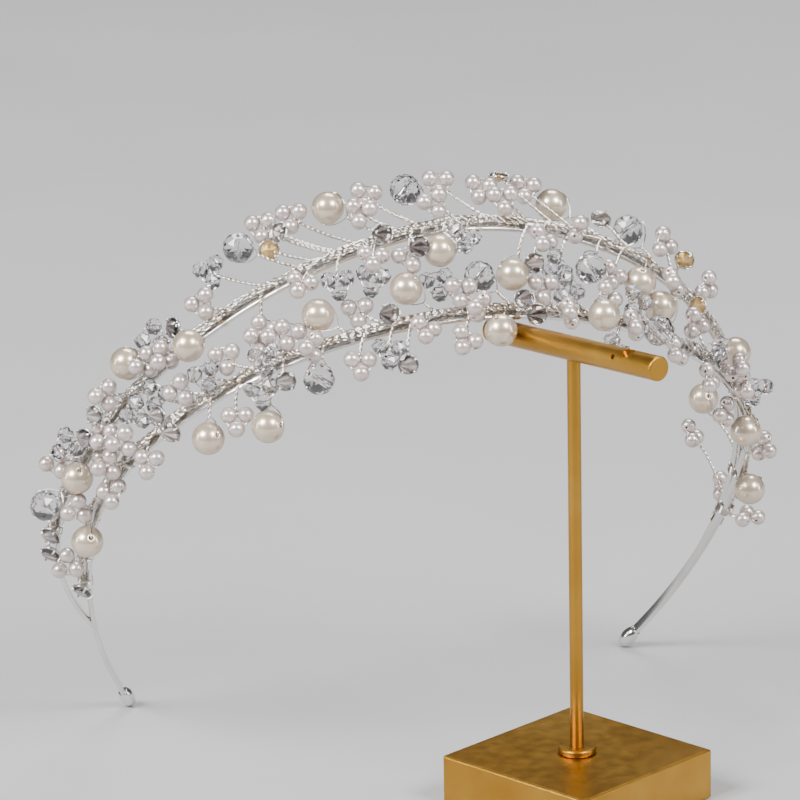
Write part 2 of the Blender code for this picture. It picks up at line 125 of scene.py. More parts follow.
# Stand
BASE_SIDE = 46.7 * MM
BASE_HEIGHT = 12.7 * MM
BASE_EDGE = 0.68 * MM
BASE_TURN = radians(28.9)
BAR_RADIUS = 3.0 * MM
BAR_LENGTH = 61.4 * MM
BAR_HEIGHT = 115.1 * MM
BAR_TURN = radians(-68.3)
BAR_TILT = radians(2.5)
FLANGE = Rod("foot_flange", 4.7 * MM, 12.7 * MM, 14.4 * MM, 0.45 * MM, 1, 64)
POST = Rod("stand_post", 1.65 * MM, BASE_HEIGHT - 6.0 * MM, BAR_HEIGHT - 0.6 * MM, 0.1 * MM, 1, 40)
BAR = Rod("rest_bar", BAR_RADIUS, -BAR_LENGTH / 2, BAR_LENGTH / 2, 0.35 * MM, 90, 72)
BAR_CREASE = radians(38)
BAR_MARKS = (Mark("set_screw", 17.3 * MM, radians(155.0), 0.6 * MM, 1.5 * MM),
             Mark("dimple", 21.3 * MM, radians(114.0), 1.6 * MM, 0.9 * MM))
DRILL_SIDES = 32
END_RING_SHARE = 0.25
RIM_STEPS = 5

# Hoop. An arc is widest at one height, and its crown rises above that.
FEET_MIDDLE = Vector((-19.2, 103.6, 2.3)) * MM
FEET_HALF = 68.9 * MM
FRONT = ArcShape(73.0 * MM, 70.0 * MM, radians(35.0), Half(86.0 * MM, 1.92), Half(86.0 * MM, 1.92))
BACK = ArcShape(32.0 * MM, 88.0 * MM, radians(25.2), Half(93.0 * MM, 1.75), Half(87.0 * MM, 1.95))
JOINT_HEIGHT = 34.0 * MM
ARC_SAMPLES = 900
SLOPE_REACH = 0.4 * MM
STRIP_WIDTH = 2.6 * MM
STRIP_THICKNESS = 1.2 * MM
STRIP_EDGE = 0.35 * MM
STRIP_EDGE_STEPS = 3
STRIP_STEP = 1.5 * MM
CAP_LENGTH = 7.0 * MM
CAP_WIDTH = 4.8 * MM
CAP_THICKNESS = 4.2 * MM
CAP_CENTRE = 0.96 * MM
CAP_STEPS = 20
CAP_SIDES = 40
CAP_GIRTH = 0.92
CAP_BLUNTNESS = 0.85
CAP_REACH = 0.985
CAP_NECK = (0.62, 0.93)

# Wire
WIRE_RADIUS = 0.16 * MM
WIRE_SIDES = 6
TIP_SHARE = 0.5
STRAND_RADIUS = 0.21 * MM
STRAND_SIDES = 5
STRAND_PITCH = 2.9 * MM
STRAND_SPREAD = 1.15
STRAND_STEP = 0.32 * MM

# Bundle of cords along each band
BUNDLE_RISE = 1.7 * MM
BUNDLE_ACROSS = -0.5 * MM
BUNDLE_ENDS = {"front": (-144.0 * MM, 143.5 * MM), "back": (-138.0 * MM, 141.0 * MM)}
CORDS = 4
CORD_ACROSS = BUNDLE_ACROSS - 0.25 * MM
CORD_RISE = BUNDLE_RISE - 0.1 * MM
CORD_ORBIT = 0.62 * MM
ORBIT_WIDTH = 1.15
ORBIT_HEIGHT = 0.85
CORD_PITCH = 34.0 * MM
CORD_SWAY = Wave(0.9, 9.0 * MM, 2.1)
CORD_SWELL = Wave(0.35, 13.0 * MM, 1.3)
CORD_STEP = 0.8 * MM
CORD_STRAND = 0.26 * MM
CORD_TWIST = 3.9 * MM
CORD_TWIST_SHARE = (0.9, 1.15)
CORD_PHASE = 1.7
CORD_STAGGER_MM = (0.0, 3.0)

# Binding turns of single wire
WRAP_SPACING = 13.0 * MM
WRAP_SCATTER_MM = (-2.5, 2.5)
WRAP_TURNS = (1, 2, 2, 3)
WRAP_POINTS = 22
WRAP_PITCH = 0.45 * MM
WRAP_WOBBLE = 0.15 * MM
WRAP_ACROSS = -0.15 * MM
WRAP_HALF = 1.75 * MM
WRAP_LOW = -0.9 * MM
WRAP_TOP = 2.6 * MM
WRAP_SIDE_POWER = 0.75
WRAP_TOP_POWER = 0.8
END_WRAP_TURNS = 6
END_WRAP_PLACE = 2.6 * MM
LEG_WRAP_TURNS = 5
LEG_WRAP_TOP = 1.75 * MM

# Stems and loops. Stems rise in the bundle, or on the leg past its end, and lean along the band.
ROOT_SHIFT = 0.4 * MM
ROOT_LIFT = 0.3 * MM
FACE_SWEEP = 0.45
BACK_SWEEP = 0.8
STEM_BURIED = 3.0 * MM
STEM_LEAD = 0.14
STEM_POINTS = 14
STEM_STOP = 0.5 * MM
BOW_OUT_MM = (0.1, 0.7)
BOW_ASIDE_MM = (-0.5, 0.5)
LEG_RISE = 1.0 * MM
LOOP_REACH = 0.32
LOOP_SPREAD = 1.1
LOOP_POINTS = 18
LOOP_INSIDE = 0.55
RING_POINTS = 30
RING_SPREAD = 1.04
THREAD_SHARES = np.linspace(-0.95, 0.95, 5)

# Beads and stones
RADII = {"pearl": 4.0 * MM, "crystal": 4.0 * MM, "pearls": 2.05 * MM, "crystals": 2.2 * MM,
         "gem": 2.4 * MM, "foil": 2.4 * MM}
PEARL_SHARE = 0.995
CRYSTAL_SHARE = 0.97
SMALL_PEARL_SHARE = (0.95, 1.0)
LARGE_TWIST = 0.9
BEAD_SPREAD = 1.17
FACING_RISE = 0.76
FACING_ACROSS = 0.65
LARGE_PEARL = Turning(0.55 * MM, 48, 26)
SMALL_PEARL = Turning(0.4 * MM, 24, 13)
HOLE_WALL = 0.82
HOLE_LIP = 0.25

# Cuts are rings of (height, size) in shares of the radius
LARGE_CUT = Cut(((0.90, 0.36), (0.62, 0.78), (0.22, 0.99), (-0.22, 0.99), (-0.62, 0.78), (-0.90, 0.36)),
                10, 0.5 * MM)
SMALL_CUT = Cut(((0.86, 0.34), (0.40, 0.92), (-0.40, 0.92), (-0.86, 0.34)), 8, 0.35 * MM)
CROWN_CUT = Cut(((0.26, 0.56), (0.15, 0.84), (0.04, 1.0), (0.0, 1.0)), 10, 0.0)
PAVILION_CUT = Cut(((0.0, 0.97), (-0.16, 0.80), (-0.44, 0.36), (-0.64, 0.05)), 10, 0.0)
# Painted glints on stone backs: facets take dark and light tones by turns, this step apart, with some
# chance added.
PAINTED_GLINT_STEP = 0.75
TONE_CHANCE = 0.25

# Settings are rows of (radius, height) in shares of the stone's radius
CUP_PROFILE = ((1.03, -0.02), (1.10, -0.06), (1.08, -0.22), (0.80, -0.50), (0.30, -0.74), (0.24, -0.70),
               (0.74, -0.44), (1.01, -0.18))
RIM_PROFILE = ((1.03, -0.02), (1.10, -0.06), (1.08, -0.20), (1.01, -0.16))
CUP_SIDES = 20
CLAWS = 4
CLAW_PROFILE = ((0.85, -0.45), (1.09, -0.16), (1.10, 0.06), (0.98, 0.24), (0.80, 0.34))
CLAW_RADIUS = 0.23 * MM
CLAW_STEP = 0.4 * MM
STONE_LEAN = 0.6
# The ways that the foil-backed stones face, in the chart's order
FOILS_FACE = ((0.15, 0.25, 0.95), (0.30, 0.90, -0.30), (0.45, 0.80, 0.25), (0.70, 0.55, -0.35))

# Small work that each band carries as one piece: its look, its slot, and whether it is smooth
BAND_PIECES = {
    "stems": ("wire", "silver_wire", True),
    "small_pearls": ("small_pearl", "pearl", True),
    "small_crystals": ("crystal", "crystal", False),
    "claw_settings": ("strip", "silver", True),
    "stone_crowns": ("crystal", "crystal", False),
    "stone_backs": ("mirror", "crystal", False),
}

# The chart's first sprigs are solids too. The finer ones after them settle between these.
SOLID_SPRIGS = 64
SOLID_SPIN = 0.25
FREE_SPIN = 0.6
SETTLE_ROUNDS = 80
SETTLE_GAP = 0.05 * MM
SETTLE_PUSH = 0.4
SETTLE_SPRING = 0.02
BAND_BALL_STEP = 1.0 * MM
BAND_BALL_ACROSS = -0.3 * MM
BAND_BALL_RISE = 0.8 * MM
BAND_BALL_RADIUS = 1.5 * MM
BAR_BALLS = 60
BOX_MARGIN = 0.3 * MM

# Sprigs of one band and kind, each as station, across and rise in mm. Station runs along the
# band from its top, towards +X. Across is towards the wearer's face, rise is away from the head.
RUNS = (
    ("front", "pearl", ((-118, 5.6, 3), (-70, 10, 0.5), (-55, 14.5, -1))),
    ("front", "crystal", ((-39.5, 8.5, 0.5),)),
    ("front", "pearl", ((-35, -6, 5.5), (-14, -6.5, 6))),
    ("front", "crystal", ((4, -8.5, 4.5),)),
    ("front", "pearl", ((5.6, 7.2, 2.6), (32.3, 3.6, 5.7))),
    ("front", "crystal", ((49, 3.8, 5),)),
    ("front", "pearl", ((53.5, -6, 4.5), (100, 6, -1), (126, 5.8, 1.2))),
    ("back", "crystal", ((-126, 3, 6.4),)),
    ("back", "pearl", ((-114.8, 5.3, 3), (-86, -4, 6.2), (-70, 4.7, 4.5))),
    ("back", "crystal", ((-49.6, -13, 6.2),)),
    ("back", "pearl", ((-27, -12, 6),)),
    ("back", "crystal", ((-9, -10, 6),)),
    ("back", "pearl", ((-5.5, 7, -0.5), (12.7, 13, -4.5), (30, -11.8, 0.3))),
    ("back", "crystal", ((35.5, 9, -1.7), (51, -8.5, 3))),
    ("back", "pearl", ((51.5, 8, -0.7), (93, 5.4, 3), (125, -14, -4.5))),
    ("front", "pearls", ((-131, 2, 6), (-112.6, 0.2, 6), (-87.5, 5.5, 1.5), (-61.5, 9.5, 0.5),
        (-58.6, -5.5, 5), (-29, 8.5, 1), (-26, -5.5, 3), (-3, 8, 1), (23, 4, 5.5),
        (41.5, 4, 4.5), (70, 8, 1), (78.5, 3, 6), (112, 4, 3.5), (141, 3, 6.5))),
    ("back", "pearls", ((-117, -2, 6), (-93.5, 1, 8), (-63.3, -5, 4.5), (-42.8, -14.8, 7),
        (-35.6, -14, 6.2), (-18, -11.5, 6), (-21.6, 6.5, 2.5), (-1, -11.5, 5), (9, -10, 4),
        (21.5, -12.5, 3.3), (20.5, 7, 2.5), (60, -6, 6))),
    ("front", "crystals", ((-53.5, 6, 1), (36.8, 9.8, 0.8))),
    ("back", "crystals", ((-58.4, -12.8, 4.8), (-31.6, 8, 0))),
    ("front", "gem", ((-78, 4, 3), (14.6, 4.6, 5.2), (-141, 3.5, 2.5))),
    ("back", "gem", ((-72.5, -5, 4),)),
    ("back", "foil", ((14.5, -14, 5),)),
    ("back", "gem", ((-135, 3.5, 3),)),
    ("front", "pearls", ((-71, -4.5, 4.5), (-48.5, -4.5, 5), (-41, -5, 4.5), (-38.5, 1, 4.2),
        (-90, -1, 4), (-12, 4.5, 3), (-1.5, -4.5, 5), (1, 1, 4.8), (17, -4.5, 5.5),
        (34.5, -4, 5), (57, 5.5, 2), (66.5, -6, 4.5), (84.5, 4, 4), (88.5, 6, -3.6),
        (-96, 1, 6), (-101, 4, 3))),
    ("back", "pearls", ((-4, -5, 5), (13, -6, 4.5), (31, 1, 4), (58.5, 8.5, 3),
        (43, 8.5, -1.8), (-20.5, -7.5, 5.5), (-81, 0.5, 6), (-77, 2, 5), (-38, 6, 2.5),
        (-13.6, 8, -0.8), (-53, 8.5, -1.4), (-102, 3, 2.5), (-107.5, 5, -2), (76, -2, 4.5),
        (138, -14, -6.5), (150, -5.5, 1.5))),
    ("front", "crystals", ((-64.5, -4.5, 4.5), (-77, -6.5, 5.5), (-84, -6, 5), (-50.5, 0, 3.6),
        (-22.5, 9, 0.5), (-7, -8, 5.5), (25, -5.5, 5), (44, -5, 4.8), (69, 0.5, 3),
        (90, 3, 6))),
    ("back", "crystals", ((-75.5, -2.5, 4.5), (-24.8, 10.5, -3), (1, 6, 1.5), (26, 10.5, -3.4),
        (-109.5, 0.5, 7.5))),
    ("front", "gem", ((-48.6, 6, 1.5), (-79.5, -1.5, 3.6), (-19, 11, 0), (-19.3, -1, 4),
        (13, -0.5, 4.2), (74, 1, 3))),
    ("back", "gem", ((18.8, 10.5, -2.5), (42, -8, 3), (-38.5, -11, 5.5))),
    ("back", "foil", ((-42.5, -9, 5),)),
    ("back", "gem", ((-17.6, 1.4, 4.2), (-10, 7.5, 2), (-99, 2, 7), (-105, 2.5, 5),
        (-141, 3, 2))),
    ("back", "foil", ((62, 1, 8), (73.5, 4.5, 2))),
)
SPRIGS = [Sprig(band, *spot, kind) for band, kind, spots in RUNS for spot in spots]


def unit(v):
    """Vectors of length one."""
    return v / np.linalg.norm(v, axis=-1, keepdims=True)


def corners(sides):
    """Angles of a ring's corners."""
    return np.arange(sides) * TAU / sides


def swing(angles, start, quarter):
    """Directions at some angles between a start and the direction a quarter turn on."""
    return np.cos(angles)[:, None] * start + np.sin(angles)[:, None] * quarter


def link_object(name, data):
    """A new object in the scene."""
    made = bpy.data.objects.new(name, data)
    bpy.context.scene.collection.objects.link(made)
    return made


def half_curve(shape, half, foot_half, side):
    """Points of a band from its top down to its foot on one side."""
    lower = shape.widest / sqrt(1.0 - (foot_half / half.width) ** 2)
    last = pi / 2 + asin(shape.widest / lower)
    power = 2.0 / half.shoulder
    points = []
    for i in range(ARC_SAMPLES + 1):
        turn = last * i / ARC_SAMPLES
        x = half.width * sin(turn)
        y = shape.widest + lower * cos(turn)
        if turn <= pi / 2:
            x = half.width * sin(turn) ** power
            y = shape.widest + shape.crown * max(cos(turn), 0.0) ** power
        points.append((side * x, y))
    return points


class Arc:
    """One band of the hoop: a plane curve that leans towards the wearer's face."""

    def __init__(self, shape, foot, foot_half):
        left = half_curve(shape, shape.left, foot_half, -1.0)
        right = half_curve(shape, shape.right, foot_half, 1.0)
        matrix = Matrix.Translation(foot) @ Matrix.Rotation(pi / 2 + shape.lean, 4, "X")
        self.curve = left[::-1] + right[1:]
        self.flat = np.array(self.curve)
        steps = np.linalg.norm(np.diff(self.flat, axis=0), axis=1)
        self.stations = np.concatenate(([0.0], np.cumsum(steps)))
        self.stations -= self.stations[ARC_SAMPLES]
        self.rotation = np.array(matrix.to_3x3())
        self.foot = np.array(matrix.translation)

    def flat_places(self, stations):
        """Points of the plane curve, before it leans."""
        held = np.clip(stations, self.stations[0], self.stations[-1])
        x, y = (np.interp(held, self.stations, self.flat[:, k]) for k in (0, 1))
        return np.stack((x, y, 0 * x), 1)

    def frames(self, stations):
        """Places on the band with their tangents, outward and across directions."""
        stations = np.atleast_1d(np.asarray(stations, float))
        slope = self.flat_places(stations + SLOPE_REACH) - self.flat_places(stations - SLOPE_REACH)
        tangent = unit(slope)
        outward = np.stack((-tangent[:, 1], tangent[:, 0], 0 * tangent[:, 0]), 1)
        place = self.flat_places(stations) @ self.rotation.T + self.foot
        return place, tangent @ self.rotation.T, outward @ self.rotation.T, self.rotation[:, 2]

    def place(self, stations, across=0.0, rise=0.0):
        """Positions beside the band, one a row."""
        spot, _, outward, side = self.frames(stations)
        across = np.reshape(across, (-1, 1))
        rise = np.reshape(rise, (-1, 1))
        return spot + outward * rise + side * across


def make_arcs():
    """Front arc on its feet, and back arc on the joint of the legs."""
    front = Arc(FRONT, FEET_MIDDLE, FEET_HALF)
    lean = Matrix.Rotation(pi / 2 + FRONT.lean, 3, "X")
    joint = FEET_MIDDLE + lean @ Vector((0, JOINT_HEIGHT, 0))
    joint_half = min((abs(y - JOINT_HEIGHT), x) for x, y in front.curve if x > 0)[1]
    return {"front": front, "back": Arc(BACK, joint, joint_half)}


class Soup:
    """Collects the vertices and faces of many small shapes for one mesh."""

    def __init__(self):
        self.verts = []
        self.faces = []
        self.uvs = []
        self.total = 0

    def add(self, verts, faces, uv=None, tones=None):
        """A block of faces with as many corners each, and a place for the finish or a tone for each face,
        which paints glints on stone facets.
        """
        verts = np.asarray(verts, float)
        faces = np.asarray(faces, int)
        self.verts.append(verts)
        self.faces.append(faces + self.total)
        if tones is not None:
            self.uvs.append(np.repeat(np.stack((tones, tones), 1), faces.shape[1], 0))
        else:
            self.uvs.append(np.zeros((faces.size, 2)) if uv is None else uv[faces.ravel()])
        self.total += len(verts)

    def add_end(self, rim, point, order):
        """Triangles from a rim to one point. The order, 1 or -1, sets the way they face."""
        sides = len(rim)
        first = np.arange(sides)
        fan = np.stack((first, (first + 1) % sides, np.full(sides, sides)), 1)
        self.add(np.concatenate((rim, point[None])), fan[:, ::order])

    def add_ends(self, verts, sides, order=1):
        """Flat ends on a run of rings."""
        for rim, turn in ((verts[:sides], -order), (verts[-sides:], order)):
            self.add_end(rim, rim.mean(0), turn)

    def plain_mesh(self, name):
        """Mesh of everything collected."""
        mesh = bpy.data.meshes.new(name)
        faces = [tuple(face) for block in self.faces for face in block.tolist()]
        mesh.from_pydata(np.concatenate(self.verts).tolist(), [], faces)
        return mesh

    def make(self, name, finish, slot_name, replaced, smooth=True):
        """One object that rides on the root body."""
        mesh = self.plain_mesh(name)
        layer = mesh.uv_layers.new(name="run")
        layer.data.foreach_set("uv", np.concatenate(self.uvs).astype(np.float32).ravel())
        mesh.polygons.foreach_set("use_smooth", [smooth] * len(mesh.polygons))
        mesh.materials.append(finish)
        mesh.validate()
        made = link_object(name, mesh)
        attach(made, "root")
        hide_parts(*replaced)
        return made


def grid_faces(rows, columns, closed=False):
    """Quads between neighbouring rings of corners, and from the last to the first if closed."""
    i, j = np.meshgrid(np.arange(rows if closed else rows - 1), np.arange(columns), indexing="ij")
    i, j = i.ravel(), j.ravel()
    i2, j2 = (i + 1) % rows, (j + 1) % columns
    return np.stack((i * columns + j, i * columns + j2, i2 * columns + j2, i2 * columns + j), 1)


def run_uv(along, around):
    """Finish coordinates of rings: a value for each ring and one for each corner."""
    return np.stack((np.repeat(along, len(around)), np.tile(around, len(along))), 1)


def path_lengths(path):
    """Distance along a path at each of its points."""
    return np.concatenate(([0.0], np.cumsum(np.linalg.norm(np.diff(path, axis=0), axis=1))))


def resample(path, step):
    """The same path with evenly spaced points, and their distances along it."""
    lengths = path_lengths(path)
    count = max(int(ceil(lengths[-1] / step)), 2) + 1
    wanted = np.linspace(0.0, lengths[-1], count)
    return np.stack([np.interp(wanted, lengths, path[:, k]) for k in range(3)], 1), wanted


def bezier(start, knee, end):
    """Quadratic curve from the start, drawn towards the knee, to the end."""
    t = np.linspace(0, 1, STEM_POINTS)[:, None]
    return start * (1 - t) ** 2 + knee * 2 * t * (1 - t) + end * t ** 2


def path_normals(path, reference):
    """Two normals at each point, turned against a reference direction."""
    tangent = unit(np.gradient(path, axis=0))
    side = unit(np.cross(np.broadcast_to(reference, tangent.shape), tangent))
    return side, np.cross(tangent, side)


def tube(soup, path, radius, reference, sides=WIRE_SIDES, closed=False):
    """A round wire along a path, with pointed ends unless it is closed."""
    side, up = path_normals(path, reference)
    turn = corners(sides)
    ring = np.cos(turn)[None, :, None] * side[:, None, :] + np.sin(turn)[None, :, None] * up[:, None, :]
    verts = (path[:, None, :] + ring * radius).reshape(-1, 3)
    faces = grid_faces(len(path), sides, closed)[:, ::-1]
    soup.add(verts, faces, run_uv(path_lengths(path), turn / TAU))
    if not closed:
        for rim, end, inner, order in ((verts[:sides], 0, 1, 1), (verts[-sides:], -1, -2, -1)):
            tip = path[end] + unit(path[end] - path[inner]) * radius * TIP_SHARE
            soup.add_end(rim, tip, order)


def twisted(soup, path, reference, phase, radius=STRAND_RADIUS, pitch=STRAND_PITCH):
    """A pair of wires twisted round each other along a path."""
    path, along = resample(path, STRAND_STEP)
    side, up = path_normals(path, reference)
    for start in (0.0, pi):
        turn = TAU * along / pitch + phase + start
        offset = radius * STRAND_SPREAD * swing(turn, side, up)
        tube(soup, path + offset, radius, reference, STRAND_SIDES)


def axes_on(axis, turn=0.0):
    """Rows are two normals, turned about the axis, and the axis."""
    helper = (0.0, 0.0, 1.0) if abs(axis[2]) < NEARLY_UPRIGHT else (1.0, 0.0, 0.0)
    base = unit(np.cross(axis, helper))
    side = cos(turn) * base + sin(turn) * np.cross(axis, base)
    return np.stack((side, np.cross(axis, side), axis))


def turned(profile, sides):
    """Corners of a profile of (radius, height) rows turned about Z, ring by ring."""
    turn = corners(sides)
    return np.stack((np.outer(profile[:, 0], np.cos(turn)), np.outer(profile[:, 0], np.sin(turn)),
                     np.repeat(profile[:, 1:], sides, 1)), 2).reshape(-1, 3)


def drilled_bead(soup, centre, axis, radius, turning):
    """A bead turned about its drill hole, with a rounded mouth and the wall of the hole."""
    hole, sides, rings = turning
    start = asin(hole / radius)
    polar = np.linspace(start, pi - start, rings)
    profile = [(radius * sin(a), radius * cos(a)) for a in polar]
    mouth = radius * cos(start)
    lip = HOLE_LIP * hole
    profile += [(HOLE_WALL * hole, -mouth + lip), (HOLE_WALL * hole, mouth - lip)]
    profile = np.array(profile)
    faces = grid_faces(len(profile), sides, True)[:, ::-1]
    uv = run_uv(profile[:, 1] / radius, corners(sides) / TAU)[:, ::-1]
    soup.add(turned(profile, sides) @ axes_on(axis) + centre, faces, uv)


def cut_ring(size, height, sides, number):
    """One ring of a cut bead. Odd rings are turned by half a side."""
    angle = (np.arange(sides) + 0.5 * (number % 2)) * TAU / sides
    return np.stack((size * np.cos(angle), size * np.sin(angle), np.full(sides, height)), 1)


def faceted_bead(soup, centre, axis, radius, cut, turn=0.0, glint_toned=False):
    """A cut bead: rings of corners, drilled along its axis or closed at both ends."""
    sides = cut.sides
    last = len(cut.levels) - 1
    rings = [cut_ring(size, height, sides, number) * radius
             for number, (height, size) in enumerate(cut.levels)]
    steps = [(row, row + 1, row % 2) for row in range(last)]
    if cut.hole:
        rings += [cut_ring(cut.hole, cut.levels[number][0] * radius, sides, number) for number in (last, 0)]
        steps += [(last, last + 1, 1), (last + 1, last + 2, 1), (last + 2, 0, 1)]
    faces = []
    for row, following, odd in steps:
        for i in range(sides):
            j = (i + 1) % sides
            a, b = row * sides + i, row * sides + j
            c, d = following * sides + i, following * sides + j
            faces += [(a, c, d), (a, d, b)] if odd else [(a, c, b), (b, c, d)]
    if not cut.hole:
        bottom = last * sides
        faces += [(0, i, i + 1) for i in range(1, sides - 1)]
        faces += [(bottom, bottom + i + 1, bottom + i) for i in range(1, sides - 1)]
    # A toned bead gets painted glints: a tone for each facet, dark and light by turns.
    tones = painted_glint_tones(len(faces)) if glint_toned else None
    soup.add(np.concatenate(rings) @ axes_on(axis, turn) + centre, faces, None, tones)


def painted_glint_tones(count):
    """Painted glints: a tone for each facet, dark and light by turns with some chance in it, standing in
    for the reflections of cut facets.
    """
    return np.array([PAINTED_GLINT_STEP * (i % 2) + draw.uniform(0.0, TONE_CHANCE) for i in range(count)])


def lathe(soup, profile, sides, matrix, closed=False):
    """Turn a profile of (radius, height) rows about Z, and close its ends or join them."""
    profile = np.asarray(profile, float)
    matrix = np.array(matrix)
    placed = turned(profile, sides) @ matrix[:3, :3].T + matrix[:3, 3]
    uv = run_uv(profile[:, 1], corners(sides) / TAU)[:, ::-1]
    soup.add(placed, grid_faces(len(profile), sides, closed), uv)
    if not closed:
        soup.add_ends(placed, sides)


# Materials

class Finish:
    """A node material, with helpers that add nodes in front of its shader."""

    def __init__(self, name):
        self.material = bpy.data.materials.new(name)
        self.material.use_nodes = True
        self.nodes = self.material.node_tree.nodes
        self.links = self.material.node_tree.links
        self.inputs = self.nodes["Principled BSDF"].inputs

    def put(self, **constants):
        """Constants on the shader's sockets, with _ for the spaces in a socket's name."""
        for name, value in constants.items():
            self.inputs[name.replace("_", " ")].default_value = value

    def noise(self, scale, detail=3.0, stretch=None, source="Object"):
        """A noise texture on object coordinates or on the mesh's own run coordinates."""
        outlet = self.nodes.new("ShaderNodeTexCoord").outputs[source]
        texture = self.nodes.new("ShaderNodeTexNoise")
        texture.inputs["Scale"].default_value = scale
        texture.inputs["Detail"].default_value = detail
        if stretch:
            mapping = self.nodes.new("ShaderNodeMapping")
            mapping.inputs["Scale"].default_value = stretch
            self.links.new(outlet, mapping.inputs["Vector"])
            outlet = mapping.outputs["Vector"]
        self.links.new(outlet, texture.inputs["Vector"])
        return texture.outputs["Fac"]

    def color(self, source, stops):
        """Base colour from a ramp of (place, colour) stops."""
        made = self.nodes.new("ShaderNodeValToRGB")
        elements = made.color_ramp.elements
        while len(elements) < len(stops):
            elements.new(0.5)
        for element, (place, color) in zip(elements, stops):
            element.position = place
            element.color = (*color, 1.0)
        self.links.new(source, made.inputs["Fac"])
        self.links.new(made.outputs["Color"], self.inputs["Base Color"])

    def roughness(self, source, low, high):
        """Roughness between two values."""
        made = self.nodes.new("ShaderNodeMapRange")
        made.inputs["To Min"].default_value = low
        made.inputs["To Max"].default_value = high
        self.links.new(source, made.inputs["Value"])
        self.links.new(made.outputs["Result"], self.inputs["Roughness"])

    def bump(self, source, depth, strength):
        """Fine relief of the surface."""
        made = self.nodes.new("ShaderNodeBump")
        made.inputs["Distance"].default_value = depth
        made.inputs["Strength"].default_value = strength
        self.links.new(source, made.inputs["Height"])
        self.links.new(made.outputs["Normal"], self.inputs["Normal"])


def pearl_finish(name, deep, pale, rim):
    """Nacre: cloudy patches of two tones, a darker rim in its lustre and a hard clear coat."""
    finish = Finish(name)
    finish.color(finish.noise(260.0, 4.0), ((0.35, deep), (0.65, pale)))
    finish.roughness(finish.noise(900.0, 2.0), 0.28, 0.38)
    finish.bump(finish.noise(1500.0), FINE_GRAIN, 0.35)
    finish.put(Metallic=0.62, Specular_Tint=(*rim, 1.0), Specular_IOR_Level=0.7)
    finish.put(Subsurface_Weight=0.12, Subsurface_Radius=(0.9, 0.7, 0.5), Subsurface_Scale=0.8 * MM)
    finish.put(Coat_Weight=1.0, Coat_Roughness=0.1, Coat_IOR=2.0)
    return finish.material


def crystal_finish():
    """Clear cut glass with faint lilac in its body and fine polishing marks."""
    finish = Finish("cut_glass")
    finish.color(finish.noise(120.0, 2.0), GLASS_TONES)
    finish.roughness(finish.noise(700.0, 2.0), 0.0, 0.045)
    finish.bump(finish.noise(500.0, 2.0), FINE_GRAIN, 0.15)
    finish.put(Transmission_Weight=1.0, IOR=1.56)
    return finish.material


def wire_finish():
    """Silver-plated wire that warms to champagne in places."""
    finish = Finish("twisted_wire")
    finish.color(finish.noise(150.0), WIRE_TONES)
    finish.roughness(finish.noise(1200.0, 2.0), 0.10, 0.24)
    finish.bump(finish.noise(1.0, 2.0, WIRE_DRAWING, "UV"), FINE_GRAIN, 0.3)
    finish.put(Metallic=1.0)
    return finish.material


def strip_finish():
    """Polished silver strip with drawing lines along its run and faint clouding."""
    finish = Finish("polished_strip")
    finish.color(finish.noise(60.0), STRIP_TONES)
    finish.roughness(finish.noise(90.0), 0.12, 0.26)
    finish.bump(finish.noise(1.0, 3.0, STRIP_DRAWING, "UV"), FINE_GRAIN, 0.4)
    finish.put(Metallic=1.0)
    return finish.material


def gold_finish(name, brushing):
    """Satin gold with fine brushing, clouded depth of tone and slight rubbing."""
    finish = Finish(name)
    finish.color(finish.noise(45.0, 5.0), GOLD_TONES)
    finish.roughness(finish.noise(300.0, 5.0), 0.26, 0.42)
    finish.bump(finish.noise(1.0, 4.0, brushing), BRUSHED_GRAIN, 0.45)
    finish.put(Metallic=1.0)
    return finish.material


def foil_finish():
    """Gold-brown foil on the back of a stone."""
    finish = Finish("foil_back")
    tone = finish.noise(500.0)
    finish.color(tone, FOIL_TONES)
    finish.roughness(tone, 0.28, 0.45)
    finish.put(Metallic=0.85)
    return finish.material


def glint_painted_mirror_finish():
    """Silvered back of a stone, seen through its crown: brown in places, and light and dark facets that are
    painted glints and painted dark reflections.
    """
    finish = Finish("silvered_facets_painted_glints")
    place = finish.nodes.new("ShaderNodeTexCoord")
    split = finish.nodes.new("ShaderNodeSeparateXYZ")
    finish.links.new(place.outputs["UV"], split.inputs["Vector"])
    # Each facet's tone picks its base colour: painted glints on the light facets, painted dark reflections
    # on the others.
    finish.color(split.outputs["X"], PAINTED_GLINT_TONES)
    finish.roughness(finish.noise(300.0, 2.0), 0.08, 0.2)
    finish.put(Metallic=0.75)
    return finish.material


def floor_finish():
    """Pale matt table top with a faint grain."""
    finish = Finish("pale_floor")
    finish.color(finish.noise(6.0, 4.0), FLOOR_TONES)
    finish.put(Roughness=0.7)
    return finish.material


def make_looks():
    """One finish for each kind of surface."""
    return {
        "pearl": pearl_finish("cream_nacre", *CREAM_NACRE),
        "small_pearl": pearl_finish("blush_nacre", *BLUSH_NACRE),
        "crystal": crystal_finish(),
        "wire": wire_finish(),
        "strip": strip_finish(),
        "foil": foil_finish(),
        "mirror": glint_painted_mirror_finish(),
        "base": gold_finish("satin_gold_base", BASE_BRUSHING),
        "rods": gold_finish("satin_gold_rods", ROD_BRUSHING),
    }


# Stand

